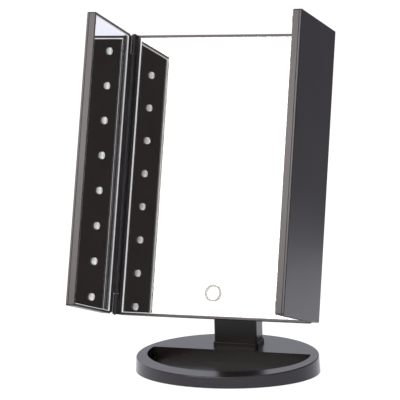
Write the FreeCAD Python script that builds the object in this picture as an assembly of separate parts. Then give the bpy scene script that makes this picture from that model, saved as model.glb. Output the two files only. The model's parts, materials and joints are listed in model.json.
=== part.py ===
import FreeCAD, Part
import math
import os

# Tri-fold lighted vanity mirror: an elliptical base with a tray, a post with a
# tilting head on it, and two hinged side mirrors with a column of lights each.
# World frame: Z up, the user stands at -Y, the origin is the centre of the
# non-slip pad's underside. Head pieces are built in the panel frame: X to the
# right, Y towards the back, Z up the panel, y = 0 at the front of the rim and
# z = 0 at its lower edge. Lengths are millimetres, angles are degrees.

V = FreeCAD.Vector

# ---- clearances ----------------------------------------------------------------------------------
running_gap = 0.05       # radial, between a shaft and the piece that turns on it
fixed_gap = 0.02         # radial, between a shaft and the piece that holds it
slip_gap = 0.1           # between pieces that are pushed into each other
body_gap = 0.3           # between pieces that move past each other

# ---- base ----------------------------------------------------------------------------------------
base_half_length = 79.1      # along X, at the top edge
base_half_width = 62.8       # along Y, at the top edge
base_height = 14.1           # to the top face, over the origin
base_slope = 3.8             # fall of the top face towards the user
base_draft = 0.8             # the foot is this much larger than the top, all round
base_wall = 2.2
base_edge_radius = 0.8
pad_thickness = 1.0
pad_sunk = 0.5               # part of the pad that sits in the bottom plate
pad_margin = 7.0             # bare border of the bottom plate round the pad
plate_thickness = 2.4
tray_half_length = 71.4
tray_half_width = 51.5
tray_middle = 3.5            # centre of the tray's ellipse behind the origin
tray_back = 11.2             # straight rear edge of the tray
tray_floor = 1.6
tray_corner = 1.5
weight_thickness = 5.0
weight_margin = 3.0
base_rib = 1.4
base_rib_place = 0.45        # ribs beside the middle, as a share of the half length
base_rear_boss = 10.0        # rear screw bosses behind the tray's wall

# ---- post ----------------------------------------------------------------------------------------
post_back = 32.1             # centre of the post behind the origin
post_half_width = 19.2
post_half_depth = 9.8
post_wall = 2.2
post_edge_radius = 2.0
post_bend_front = 60.0       # height where the front face starts to lean
post_bend_back = 73.0
post_bend_radius = 26.0
post_neck_low = 81.0         # height where the post starts to narrow
post_neck_high = 103.0
post_screw_heights = (38.0, 62.0)
collar_height = 3.7
collar_overhang = 1.2
foot_height = 13.0

# ---- tilt hinge ----------------------------------------------------------------------------------
pivot_y = 4.4                # tilt axis in the world frame
pivot_z = 115.5
pivot_behind_glass = 24.0    # tilt axis in the panel frame
pivot_up_panel = 72.0
rest_tilt = 16.25            # backward lean of the panel
axle_radius = 2.5
bush_radius = 4.5
knuckle_radius = 8.5
knuckle_half_width = 11.5
washer_radius = 7.0
washer_thickness = 0.8
ear_radius = 9.0
ear_thickness = 4.0
bracket_half_width = 24.0
bracket_half_height = 18.0
bracket_plate = 3.0
axle_head_radius = 4.4
axle_head_height = 2.6
nut_across_flats = 8.0
axle_cap_radius = 6.4
axle_cap_wall = 1.2

# ---- panels --------------------------------------------------------------------------------------
panel_height = 240.0
panel_corner = 1.2
rim = 2.0                    # frame seen round the glass
centre_side_rim = 3.8
centre_glass_width = 160.0
centre_frame_depth = 7.0
wing_frame_depth = 5.4
cover_thickness = 2.0
cover_edge_radius = 0.6
edge_ease = 0.3              # chamfer of a panel's front edges
seam_ease = 0.25             # chamfer on both sides of a panel's joint line
glass_thickness = 2.0
glass_sunk = 0.2
glass_chamfer = 0.4
web_thickness = 1.4
frame_wall = 1.8
lip_thickness = 1.2
lip_height = 0.9
frame_rib = 1.2

# ---- wing hinges ---------------------------------------------------------------------------------
hinge_beside_glass = 4.7     # hinge axis outboard of the glass edge
hinge_ahead = 2.6            # hinge axis ahead of the rim
wing_edge_offset = 3.25      # hinge axis to the wing's edge, along the wing
wings_meet_gap = 1.0
barrel_radius = 2.2
hinge_pin_radius = 0.9
end_knuckle = 17.2
hinge_web = 1.8
hinge_lip_reach = 2.6        # hinge axis to the lip on the wing's hinge edge
hinge_lip_turn = (38.0, 62.0)    # the lip faces the barrel between these angles, from along the wing
pin_stub = 0.6               # pin end that shows beyond the frame
left_open = 89.2             # opening from closed, as stored
right_open = 85.7

# ---- lights --------------------------------------------------------------------------------------
light_count = 8
light_first = 10.5           # height of the lowest light
light_last = 24.4            # the highest light below the panel's upper edge
light_along_wing = 42.5      # from the wing's hinge edge
lens_radius = 3.0
lens_stem = 0.4              # stem that reaches into the web
board_thickness = 0.8
light_board_width = 10.0
light_board_end = 6.0        # board beyond the first and last light
chip_length = 3.5
chip_width = 2.8
chip_height = 0.7

# ---- closing pads --------------------------------------------------------------------------------
closing_pad_inset = 8.3      # centre of a pad from the panel's end
closing_pad_length = 4.6
closing_pad_width = 1.2
closing_pad_edge = 0.35      # pad from the wing's free edge
closing_pad_proud = 0.25
closing_pad_sunk = 0.5

# ---- touch key -----------------------------------------------------------------------------------
touch_height = 21.2
touch_radius = 7.1
touch_stroke = 1.6
touch_inlay = 0.15
touch_board_size = 22.0
touch_board_thickness = 0.8
touch_board_up = 2.0         # board's middle above the ring's
touch_plug = (8.0, 2.4, 6.0)     # socket of the touch board: across, deep, up

# ---- battery housing on the rear cover -----------------------------------------------------------
housing_half_width = 38.0
housing_middle = 151.0       # height of its middle up the panel
housing_beyond_bay = 13.0    # housing above and below the bay
housing_depth = 12.0
housing_wall = 1.6
housing_corner = 6.0
housing_edge_radius = 1.5
cell_radius = 5.2
cell_length = 44.5
cell_nub_radius = 1.9
cell_nub = 1.0
cell_pitch = 11.4
cell_count = 4
bay_end_room = 7.5           # room for the contacts at both ends together
spring_room = 5.5
spring_foot = 4.0            # radius of a contact spring at its plate
spring_tip = 2.4
button_foot = 2.6            # radius of a contact button at its plate
button_tip = 1.6
contact_side_gap = 0.8
contact_plate = 0.4
bay_wall = 1.2
door_thickness = 1.5
door_tongue = 1.1
door_border = 3.6            # door beyond the bay's sides
door_seat_side = 2.2         # seat beyond the door's sides
door_rib_count = 4
door_travel = 9.0

# ---- switch and charging inlet -------------------------------------------------------------------
control_board_x = 31.0
control_board_width = 9.0
board_below_inlet = 12.0     # control board below the inlet's middle
board_above_switch = 22.0    # control board above the switch
control_board_thickness = 1.0
control_board_depth = 10.0   # front face of the board behind the glass plane
board_post_radius = 1.6
board_post_inset = 3.0       # posts from the control board's ends
chip_block = (5.0, 1.2, 5.0)     # the dimmer's chip: across, deep, up
plug_block = (6.0, 2.2, 6.0)     # the wires' socket on the board's other face
plug_inset = 2.0                 # socket from the board's upper end
switch_above_inlet = 24.0
switch_travel = 3.0
switch_knob_length = 6.0
switch_knob_width = 4.2
switch_proud = 1.2
switch_body_length = 14.0
switch_body_width = 5.4
switch_body_height = 5.8
inlet_up_housing = 24.0      # above the housing's lower end
inlet_width = 7.6
inlet_thick = 2.8
inlet_wall = 0.4
inlet_length = 6.5

# ---- screws --------------------------------------------------------------------------------------
screw_radius = 1.25
screw_head_radius = 2.4
screw_head_height = 1.2
boss_radius = 3.0

# ---- worked out from the sizes above -------------------------------------------------------------
top_fall = math.tan(math.radians(base_slope))
tray_floor_low = pad_sunk + plate_thickness
tray_floor_top = tray_floor_low + tray_floor
weight_top = tray_floor_low + weight_thickness
post_front_y = post_back - post_half_depth
post_rear_y = post_back + post_half_depth
centre_half_glass = centre_glass_width / 2
centre_half_width = centre_half_glass + centre_side_rim
hinge_x = centre_half_glass + hinge_beside_glass
wing_start = hinge_x + wing_edge_offset
wing_length = hinge_x - wing_edge_offset - wings_meet_gap / 2
wing_end = wing_start + wing_length
wing_depth = wing_frame_depth + cover_thickness
centre_depth = centre_frame_depth + cover_thickness
glass_back = glass_sunk + glass_thickness
web_back = glass_back + web_thickness
light_x = wing_start + light_along_wing
light_pitch = (panel_height - light_first - light_last) / (light_count - 1)
light_heights = [light_first + i * light_pitch for i in range(light_count)]
board_back = web_back + board_thickness
housing_back = centre_depth + housing_depth
housing_inner_back = housing_back - housing_wall
bay_half_width = cell_count * cell_pitch / 2 + 0.6
bay_low = housing_middle - (cell_length + bay_end_room) / 2
bay_high = housing_middle + (cell_length + bay_end_room) / 2
housing_low = bay_low - housing_beyond_bay
housing_high = bay_high + housing_beyond_bay
inlet_height = housing_low + inlet_up_housing
switch_height = inlet_height + switch_above_inlet
control_board_low = inlet_height - board_below_inlet
control_board_high = switch_height + board_above_switch
door_inner = housing_back - door_thickness - body_gap
cell_depth = door_inner - body_gap - cell_radius
bay_floor = cell_depth - cell_radius
door_half_width = bay_half_width + door_border - body_gap
door_low = bay_low - door_border
door_high = bay_high + door_border - body_gap
ear_inner = knuckle_half_width + washer_thickness + 2 * running_gap
ear_outer = ear_inner + ear_thickness
plate_back = centre_depth + bracket_plate


# ---- small makers --------------------------------------------------------------------------------
def box(x0, x1, y0, y1, z0, z1):
    """Block between three pairs of limits."""
    return Part.makeBox(x1 - x0, y1 - y0, z1 - z0, V(x0, y0, z0))


def rod(radius, start, end):
    """Round bar from one point to another."""
    run = end.sub(start)
    return Part.makeCylinder(radius, run.Length, start, run)


def ring(outer, inner, start, end):
    """Tube from one point to another."""
    return rod(outer, start, end).cut(rod(inner, start, end))


def prism(points, run):
    """Closed outline of straight lines, pushed along run."""
    return Part.Face(Part.makePolygon(points + points[:1])).extrude(run)


def straight_edges(shape, direction):
    """Straight edges of a shape that run along a direction."""
    picked = []
    for edge in shape.Edges:
        if len(edge.Vertexes) == 2:
            span = edge.Vertexes[1].Point.sub(edge.Vertexes[0].Point)
            straight = abs(span.Length - edge.Length) < 1e-5
            if straight and abs(span.dot(direction)) > 0.9999 * edge.Length:
                picked.append(edge)
    return picked


def rounded_block(x0, x1, y0, y1, z0, z1, corner, direction):
    """Block with its four edges along a direction rounded."""
    block = box(x0, x1, y0, y1, z0, z1)
    return block.makeFillet(corner, straight_edges(block, direction))


def panel_plate(x0, x1, y0, y1, corner):
    """Full-height plate of a panel, with rounded corners in front view."""
    return rounded_block(x0, x1, y0, y1, 0, panel_height, corner, V(0, 1, 0))


def edges_at(shape, y):
    """Edges of a shape that lie in the plane at y."""
    return [edge for edge in shape.Edges
            if abs(edge.BoundBox.YMin - y) < 1e-4 and abs(edge.BoundBox.YMax - y) < 1e-4]


def soften_back(shape, radius, y):
    """Round the outer edges of the face that looks back at y."""
    return shape.makeFillet(radius, edges_at(shape, y))


def frame_plate(x0, x1, depth):
    """Plate of a panel's frame with eased front edges and half of the joint line's groove."""
    plate = panel_plate(x0, x1, 0, depth, panel_corner)
    plate = plate.makeChamfer(edge_ease, edges_at(plate, 0))
    return plate.makeChamfer(seam_ease, edges_at(plate, depth))


def joined(pieces):
    """One solid from pieces that meet."""
    return pieces[0].fuse(pieces[1:]).removeSplitter()


def tangent_point(centre, radius, point, side):
    """Point where a line from a point touches a circle; side is 1 or -1. All in (y, z)."""
    away = (point[0] - centre[0], point[1] - centre[1])
    turn = math.atan2(away[1], away[0]) + side * math.acos(radius / math.hypot(away[0], away[1]))
    return centre[0] + radius * math.cos(turn), centre[1] + radius * math.sin(turn)


def screw(tip, head, head_radius=screw_head_radius, radius=screw_radius):
    """Pan-head screw from its tip to the top of its head, with a cross recess."""
    back = tip.sub(head).normalize()
    under = head.add(back * screw_head_height)
    body = rod(radius, under, tip).fuse(rod(head_radius, head, under))
    side = back.cross(V(1, 0, 0)) if abs(back.x) < 0.9 else back.cross(V(0, 1, 0))
    slot = box(-head_radius * 0.6, head_radius * 0.6, -0.3, 0.3, -0.01, 0.7)
    turn = FreeCAD.Rotation(V(0, 0, 1), back)
    for spin in (0, 90):
        cutter = slot.copy()
        cutter.Placement = FreeCAD.Placement(head, turn.multiply(FreeCAD.Rotation(V(0, 0, 1), spin)))
        body = body.cut(cutter)
    return body


# ---- base ----------------------------------------------------------------------------------------
def top_height(y):
    """Height of the base's sloping top face at a distance behind the origin."""
    return base_height + top_fall * y


def below_top(offset):
    """Everything under a plane that lies offset above the base's top face."""
    reach = 2 * base_half_length
    side = [V(-reach, -reach, -reach), V(-reach, reach, -reach),
            V(-reach, reach, top_height(reach) + offset), V(-reach, -reach, top_height(-reach) + offset)]
    return prism(side, V(2 * reach, 0, 0))


def ellipse_wire(half_x, half_y, z):
    """Ellipse round the origin, longer along X."""
    return Part.Wire(Part.Ellipse(V(half_x, 0, z), V(0, half_y, z), V(0, 0, z)).toShape())


def ellipse_plate(half_x, half_y, z0, z1):
    """Elliptical plate round the origin."""
    return Part.Face(ellipse_wire(half_x, half_y, z0)).extrude(V(0, 0, z1 - z0))


def base_form(inset, z0, top_offset):
    """The base's outer form, drawn in by inset all round, from z0 to the sloping top."""
    peak = top_height(base_half_width) + 2.0
    spread = [base_draft * (1 - (z - pad_sunk) / base_height) - inset for z in (z0, peak)]
    wires = [ellipse_wire(base_half_length + grow, base_half_width + grow, z)
             for grow, z in zip(spread, (z0, peak))]
    return Part.makeLoft(wires, True, True).common(below_top(top_offset))


def tray_form(grow, z0, z1):
    """The tray's outline, half an ellipse with a straight rear edge, as a column."""
    column = ellipse_plate(tray_half_length + grow, tray_half_width + grow, z0, z1)
    column.translate(V(0, tray_middle, 0))
    reach = base_half_length
    column = column.common(box(-reach, reach, -reach, tray_back + grow, z0, z1))
    corners = [edge for edge in straight_edges(column, V(0, 0, 1))
               if edge.BoundBox.YMin > tray_back + grow - 0.01]
    return column.makeFillet(tray_corner, corners)


def base_screw_places():
    """Bosses of the bottom plate's screws, in the rim before and behind the tray."""
    rim_depth = (base_half_width + tray_half_width - tray_middle) / 2
    front_x = base_half_length * 0.28
    front_y = -rim_depth * math.sqrt(1 - (front_x / base_half_length) ** 2)
    rear_x = base_half_length * 0.68
    rear_y = tray_back + base_wall + boss_radius + base_rear_boss
    return [(-front_x, front_y), (front_x, front_y), (-rear_x, rear_y), (rear_x, rear_y)]


def foot_screw_places():
    """Screws that hold the post's foot block from under the base's top."""
    return [(-post_half_width / 2, post_back), (post_half_width / 2, post_back)]


def make_base_shell():
    """Moulded upper shell: drafted wall, sloping top, tray, ribs and screw bosses."""
    outer = base_form(0, pad_sunk, 0)
    rim_edges = [edge for edge in outer.Edges
                 if edge.BoundBox.ZMin > pad_sunk + 1 and edge.BoundBox.XLength > base_half_length]
    outer = outer.makeFillet(base_edge_radius, rim_edges)
    hollow = base_form(base_wall, pad_sunk, -base_wall)
    high = top_height(base_half_width) + 5
    tray_block = tray_form(base_wall, tray_floor_low, high).common(base_form(base_wall / 2, pad_sunk, -0.5))
    shell = outer.cut(hollow).fuse(tray_block)
    for x, y in base_screw_places():
        shell = shell.fuse(rod(boss_radius, V(x, y, tray_floor_low), V(x, y, top_height(y) - 0.5)))
    for x in (-base_rib_place * base_half_length, base_rib_place * base_half_length):
        length = base_half_width * math.sqrt(1 - base_rib_place ** 2) - base_wall / 2
        rib = box(x - base_rib / 2, x + base_rib / 2, tray_back + base_wall / 2, length,
                  weight_top + slip_gap, high)
        shell = shell.fuse(rib.common(base_form(base_wall / 2, pad_sunk, -0.5)))
    shell = shell.cut(tray_form(0, tray_floor_top, high))
    for x, y in base_screw_places():
        shell = shell.cut(rod(screw_radius, V(x, y, 0), V(x, y, top_height(y) - base_wall)))
    for x, y in foot_screw_places():
        shell = shell.cut(rod(screw_radius + slip_gap, V(x, y, 0), V(x, y, high)))
    return shell.removeSplitter()


def plate_form(z0, z1):
    """Outline of the bottom plate, pushed in between the shell's walls."""
    grow = base_draft - base_wall - 2 * slip_gap
    return ellipse_plate(base_half_length + grow, base_half_width + grow, z0, z1)


def make_bottom_plate():
    """Plate that closes the shell from below, with a pocket for the pad."""
    plate = plate_form(pad_sunk, tray_floor_low)
    half_x = base_half_length - pad_margin + slip_gap
    half_y = base_half_width - pad_margin + slip_gap
    plate = plate.cut(ellipse_plate(half_x, half_y, 0, pad_thickness))
    for x, y in base_screw_places():
        plate = plate.cut(rod(screw_radius + slip_gap, V(x, y, 0), V(x, y, tray_floor_low + 1)))
        head_top = V(x, y, pad_thickness + screw_head_height)
        plate = plate.cut(rod(screw_head_radius + slip_gap, V(x, y, 0), head_top))
    return plate


def make_base_screws():
    """Four screws from below into the shell's bosses."""
    return [screw(V(x, y, top_height(y) - base_wall - 1), V(x, y, pad_thickness))
            for x, y in base_screw_places()]


def make_base_pad():
    """Non-slip sheet under the base; the part rests on it."""
    return ellipse_plate(base_half_length - pad_margin, base_half_width - pad_margin, 0, pad_thickness)


def make_base_weight():
    """Steel plate that keeps the base down, under the ribs of the rear half."""
    inset = base_wall + weight_margin
    plate = ellipse_plate(base_half_length - inset, base_half_width - inset, tray_floor_low, weight_top)
    front = tray_back + base_wall + weight_margin
    plate = plate.common(box(-base_half_length, base_half_length, front, base_half_width, 0, weight_top))
    for x, y in base_screw_places():
        plate = plate.cut(rod(boss_radius + 1.0, V(x, y, 0), V(x, y, weight_top + 1)))
    return plate


# ---- post ----------------------------------------------------------------------------------------
def post_form(inset):
    """The post's outer form drawn in by inset: straight foot, bend towards the panel, tapering arm."""
    front, rear = post_front_y + inset, post_rear_y - inset
    pivot = (pivot_y, pivot_z)
    radius = knuckle_radius - inset
    front_touch = tangent_point(pivot, radius, (front, post_bend_front), -1)
    rear_touch = tangent_point(pivot, radius, (rear, post_bend_back), 1)
    outline = [(front, 0), (rear, 0), (rear, post_bend_back), rear_touch, pivot, front_touch,
               (front, post_bend_front)]
    width = post_half_width - inset
    side = prism([V(-width, y, z) for y, z in outline], V(2 * width, 0, 0))
    bends = [edge for edge in straight_edges(side, V(1, 0, 0))
             if any(abs(edge.BoundBox.ZMin - z) < 0.01 for z in (post_bend_front, post_bend_back))]
    side = side.makeFillet(post_bend_radius, bends)
    side = side.fuse(rod(radius, V(-width, *pivot), V(width, *pivot))).removeSplitter()
    narrow = knuckle_half_width - inset
    top = pivot_z + knuckle_radius + 1
    face = [V(-width, 0, 0), V(width, 0, 0), V(width, 0, post_neck_low), V(narrow, 0, post_neck_high),
            V(narrow, 0, top), V(-narrow, 0, top), V(-narrow, 0, post_neck_high), V(-width, 0, post_neck_low)]
    reach = 2 * post_rear_y
    front_view = prism([p + V(0, -reach, 0) for p in face], V(0, 2 * reach, 0))
    return side.common(front_view).removeSplitter()


def rounded_post():
    """Post form with its long edges rounded up to where it narrows."""
    form = post_form(0)
    edges = [edge for edge in form.Edges
             if edge.BoundBox.ZMin < post_neck_low - 1 and edge.BoundBox.ZLength > 3.0]
    return form.makeFillet(post_edge_radius, edges)


def post_front_region():
    """Everything ahead of the joint line between the post's two shells."""
    reach = 2 * post_rear_y
    bend = (post_bend_front + post_bend_back) / 2
    lean = math.atan2(post_back - pivot_y, pivot_z - bend)
    rise = 2 * knuckle_radius
    above = (pivot_y - rise * math.sin(lean), pivot_z + rise * math.cos(lean))
    outline = [(-reach, 0), (post_back, 0), (post_back, bend), (pivot_y, pivot_z), above, (-reach, above[1])]
    return prism([V(-reach, y, z) for y, z in outline], V(2 * reach, 0, 0))


def post_screw_places():
    """Front end and head of the two screws that hold the post's shells together."""
    places = []
    for z in post_screw_heights:
        places.append((V(0, post_front_y + post_wall + 1, z), V(0, post_rear_y - 1.0, z)))
    return places


def make_post_shells():
    """Front and rear shells of the post, with the knuckle, the bosses and the foot opening."""
    left, right = V(-2 * post_half_width, pivot_y, pivot_z), V(2 * post_half_width, pivot_y, pivot_z)
    hollow = post_form(post_wall).cut(rod(knuckle_radius, left, right))
    form = rounded_post()
    shell = form.cut(hollow)
    for tip, head in post_screw_places():
        boss = rod(boss_radius, V(0, post_front_y + 1, tip.z), V(0, post_rear_y - 1, head.z))
        shell = shell.fuse(boss.common(form))
    for tip, head in post_screw_places():
        shell = shell.cut(rod(screw_radius, tip, head))
        under = head - V(0, screw_head_height, 0)
        shell = shell.cut(rod(screw_head_radius + slip_gap, under, head + V(0, 3, 0)))
    shell = shell.cut(rod(bush_radius, left, right))
    shell = shell.cut(below_top(0))
    ahead = post_front_region()
    return shell.common(ahead), shell.cut(ahead)


def make_post_foot():
    """Block inside the post's foot that the screws from the base pull down."""
    inset = post_wall + slip_gap
    block = rounded_block(-post_half_width + inset, post_half_width - inset, post_front_y + inset,
                          post_rear_y - inset, 0, top_height(post_rear_y) + foot_height, 1.0, V(0, 0, 1))
    block = block.cut(below_top(0))
    for x, y in foot_screw_places():
        block = block.cut(rod(screw_radius, V(x, y, 0), V(x, y, top_height(y) + foot_height - 3)))
    return block


def make_foot_screws():
    """Screws from under the base's top into the foot block."""
    drop = base_wall + screw_head_height + 2 * slip_gap
    return [screw(V(x, y, top_height(y) + foot_height - 3), V(x, y, top_height(y) - drop))
            for x, y in foot_screw_places()]


def make_collar():
    """Trim ring round the post where it meets the base."""
    over = collar_overhang
    high = top_height(post_rear_y) + collar_height + 5
    outer = rounded_block(-post_half_width - over, post_half_width + over, post_front_y - over,
                          post_rear_y + over, 0, high, post_edge_radius + over, V(0, 0, 1))
    inner = rounded_block(-post_half_width - slip_gap, post_half_width + slip_gap, post_front_y - slip_gap,
                          post_rear_y + slip_gap, 0, high, post_edge_radius, V(0, 0, 1))
    collar = outer.common(below_top(collar_height)).cut(below_top(0))
    top_edges = [edge for edge in collar.Edges if edge.BoundBox.ZMin > top_height(edge.BoundBox.YMin) + 1.0]
    return collar.makeFillet(0.7, top_edges).cut(inner)


# ---- tilt hinge ----------------------------------------------------------------------------------
def at_pivot(x):
    """Point on the tilt axis in the panel frame."""
    return V(x, pivot_behind_glass, pivot_up_panel)


def make_tilt_bush():
    """Metal sleeve between the post's shells, in the world frame."""
    ends = V(-knuckle_half_width, pivot_y, pivot_z), V(knuckle_half_width, pivot_y, pivot_z)
    return ring(bush_radius, axle_radius + running_gap, *ends)


def bracket_screw_places():
    """Four screws of the tilt bracket, at its plate's corners."""
    x = bracket_half_width - 4.0
    z = bracket_half_height - 4.0
    return [(sx * x, pivot_up_panel + sz * z) for sx in (-1, 1) for sz in (-1, 1)]


def make_tilt_bracket():
    """Plate with two ears that carry the tilt axle."""
    low, high = pivot_up_panel - bracket_half_height, pivot_up_panel + bracket_half_height
    bracket = rounded_block(-bracket_half_width, bracket_half_width, centre_depth, plate_back, low, high,
                            3.0, V(0, 1, 0))
    pivot = (pivot_behind_glass, pivot_up_panel)
    foot = plate_back - 0.5
    reach = bracket_half_height - 4.0
    for side in (-1, 1):
        lower = tangent_point(pivot, ear_radius, (foot, pivot_up_panel - reach), 1)
        upper = tangent_point(pivot, ear_radius, (foot, pivot_up_panel + reach), -1)
        outline = [(foot, pivot_up_panel - reach), lower, pivot, upper, (foot, pivot_up_panel + reach)]
        x = side * ear_inner
        width = V(side * ear_thickness, 0, 0)
        ear = prism([V(x, y, z) for y, z in outline], width)
        ear = ear.fuse(rod(ear_radius, at_pivot(x), at_pivot(x) + width))
        bracket = bracket.fuse(ear)
    bracket = bracket.cut(rod(axle_radius + fixed_gap, at_pivot(-30), at_pivot(30)))
    for x, z in bracket_screw_places():
        bracket = bracket.cut(rod(screw_radius + slip_gap, V(x, 0, z), V(x, plate_back + 1, z)))
    return bracket.removeSplitter()


def make_bracket_screws():
    """Four screws through the bracket and the rear cover into the frame's bosses."""
    return [screw(V(x, web_back + 0.5, z), V(x, plate_back + screw_head_height, z))
            for x, z in bracket_screw_places()]


def make_tilt_axle():
    """Shaft with a round head at its left end."""
    shaft = rod(axle_radius, at_pivot(-ear_outer), at_pivot(ear_outer + axle_head_height + 0.6))
    return shaft.fuse(rod(axle_head_radius, at_pivot(-ear_outer - axle_head_height), at_pivot(-ear_outer)))


def make_axle_nut():
    """Hexagon nut on the shaft's right end."""
    corner = nut_across_flats / math.sqrt(3)
    turns = [math.radians(60 * i) for i in range(6)]
    points = [at_pivot(ear_outer) + V(0, corner * math.cos(turn), corner * math.sin(turn)) for turn in turns]
    nut = prism(points, V(axle_head_height, 0, 0))
    return nut.cut(rod(axle_radius, at_pivot(ear_outer), at_pivot(ear_outer + axle_head_height)))


def make_friction_washers():
    """Spring washers that give the tilt hinge its grip."""
    inner = knuckle_half_width + running_gap
    return [ring(washer_radius, axle_radius + fixed_gap, at_pivot(side * inner),
                 at_pivot(side * (inner + washer_thickness))) for side in (-1, 1)]


def make_axle_caps():
    """Plastic caps over the axle's head and the nut."""
    caps = []
    deep = axle_head_height + 1.4
    for side in (-1, 1):
        cap = rod(axle_cap_radius, at_pivot(side * ear_outer), at_pivot(side * (ear_outer + deep)))
        far = side * (ear_outer + deep)
        edges = [edge for edge in cap.Edges
                 if abs(edge.BoundBox.XMin - far) + abs(edge.BoundBox.XMax - far) < 1e-4]
        cap = cap.makeFillet(0.9, edges)
        hollow = rod(axle_cap_radius - axle_cap_wall, at_pivot(side * (ear_outer - 1)),
                     at_pivot(side * (ear_outer + deep - 0.7)))
        caps.append(cap.cut(hollow))
    return caps


# ---- hinge knuckles ------------------------------------------------------------------------------
def knuckle(target_x, target_y, z0, z1):
    """Hinge barrel with a web from its axis to a point inside the frame it belongs to."""
    axis = V(hinge_x, -hinge_ahead, z0)
    goal = V(target_x, target_y, z0)
    along = goal.sub(axis).normalize()
    across = V(-along.y, along.x, 0) * (hinge_web / 2)
    rise = V(0, 0, z1 - z0)
    web = prism([axis + across, goal + across, goal - across, axis - across], rise)
    return web.fuse(rod(barrel_radius, axis, axis + rise))


def hinge_bore(radius):
    """Room for the hinge pin over the panel's full height."""
    return rod(radius, V(hinge_x, -hinge_ahead, -5), V(hinge_x, -hinge_ahead, panel_height + 5))


def make_hinge_pin():
    """Steel pin of the right wing's hinge."""
    low, high = V(hinge_x, -hinge_ahead, -pin_stub), V(hinge_x, -hinge_ahead, panel_height + pin_stub)
    return rod(hinge_pin_radius, low, high)


# ---- centre panel --------------------------------------------------------------------------------
def cover_screw_places():
    """Screws of the centre's rear cover, along both sides."""
    x = centre_half_width - frame_wall - boss_radius - 5.0
    return [(side * x, z) for side in (-1, 1) for z in (16.0, panel_height / 2, panel_height - 16.0)]


def make_centre_frame():
    """Front frame: rim, glass seat, ribbed web, bosses and the end knuckles of both hinges."""
    half = centre_half_width
    frame = frame_plate(-half, half, centre_frame_depth)
    frame = frame.cut(box(-centre_half_glass, centre_half_glass, -1, glass_back, rim, panel_height - rim))
    inside = half - frame_wall
    low, high = frame_wall, panel_height - frame_wall
    frame = frame.cut(box(-inside, inside, web_back, centre_frame_depth, low, high))
    rib_back = centre_frame_depth - lip_height - slip_gap
    half_rib, half_wall, root = frame_rib / 2, frame_wall / 2, web_back - web_thickness / 2
    side, top = half - half_wall, panel_height - half_wall
    for x in (-inside * 2 / 3, -inside / 3, inside / 3, inside * 2 / 3):
        frame = frame.fuse(box(x - half_rib, x + half_rib, root, rib_back, half_wall, top))
    for i in range(1, 6):
        z = panel_height * i / 6
        frame = frame.fuse(box(-side, side, root, rib_back, z - half_rib, z + half_rib))
    for x, z in cover_screw_places() + bracket_screw_places():
        frame = frame.fuse(rod(boss_radius, V(x, root, z), V(x, centre_frame_depth, z)))
    ends = [(0, end_knuckle), (panel_height - end_knuckle, panel_height)]
    for z0, z1 in ends:
        right = knuckle(half - 1.2, 0.8, z0, z1).cut(hinge_bore(hinge_pin_radius + fixed_gap))
        frame = frame.fuse(right).fuse(right.mirror(V(0, 0, 0), V(1, 0, 0)))
    for x, z in cover_screw_places() + bracket_screw_places():
        frame = frame.cut(rod(screw_radius, V(x, web_back, z), V(x, centre_frame_depth + 1, z)))
    seat = touch_board_size / 2 + slip_gap
    middle = touch_height + touch_board_up
    seat_back = glass_back + touch_board_thickness + 2 * slip_gap
    frame = frame.cut(box(-seat, seat, glass_back, seat_back, middle - seat, middle + seat))
    window = touch_board_size / 2 - 2.0
    frame = frame.cut(box(-window, window, glass_back, centre_frame_depth, middle - window, middle + window))
    return frame.removeSplitter()


def glass_plate(x0, x1):
    """Mirror glass between two sides, with ground front edges."""
    glass = box(x0, x1, glass_sunk, glass_back, rim + slip_gap, panel_height - rim - slip_gap)
    edges = [edge for edge in glass.Edges if abs(edge.BoundBox.YMax - glass_sunk) < 1e-4]
    return glass.makeChamfer(glass_chamfer, edges)


def make_centre_mirror():
    """Centre glass, with a shallow groove for the touch ring."""
    glass = glass_plate(-centre_half_glass + slip_gap, centre_half_glass - slip_gap)
    return glass.cut(make_touch_ring())


def make_touch_ring():
    """Frosted ring that marks the touch key."""
    front, back = V(0, glass_sunk, touch_height), V(0, glass_sunk + touch_inlay, touch_height)
    return ring(touch_radius, touch_radius - touch_stroke, front, back)


def make_touch_board():
    """Sensor board behind the ring, against the glass."""
    half = touch_board_size / 2
    middle = touch_height + touch_board_up
    back = glass_back + touch_board_thickness
    board = box(-half, half, glass_back, back, middle - half, middle + half)
    across, deep, up = touch_plug
    return board.fuse(box(-across / 2, across / 2, back, back + deep, middle - up / 2, middle + up / 2))


def cover_plate(x0, x1, front, back):
    """Rear cover with a rounded back edge and a locating lip inside the frame."""
    plate = soften_back(panel_plate(x0, x1, front, back, panel_corner), cover_edge_radius, back)
    plate = plate.makeChamfer(seam_ease, edges_at(plate, front))
    outer = frame_wall + slip_gap
    inner = outer + lip_thickness
    low, high = front - lip_height, front + lip_thickness / 4
    lip = box(x0 + outer, x1 - outer, low, high, outer, panel_height - outer)
    return plate.fuse(lip.cut(box(x0 + inner, x1 - inner, low - 1, high, inner, panel_height - inner)))


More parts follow.
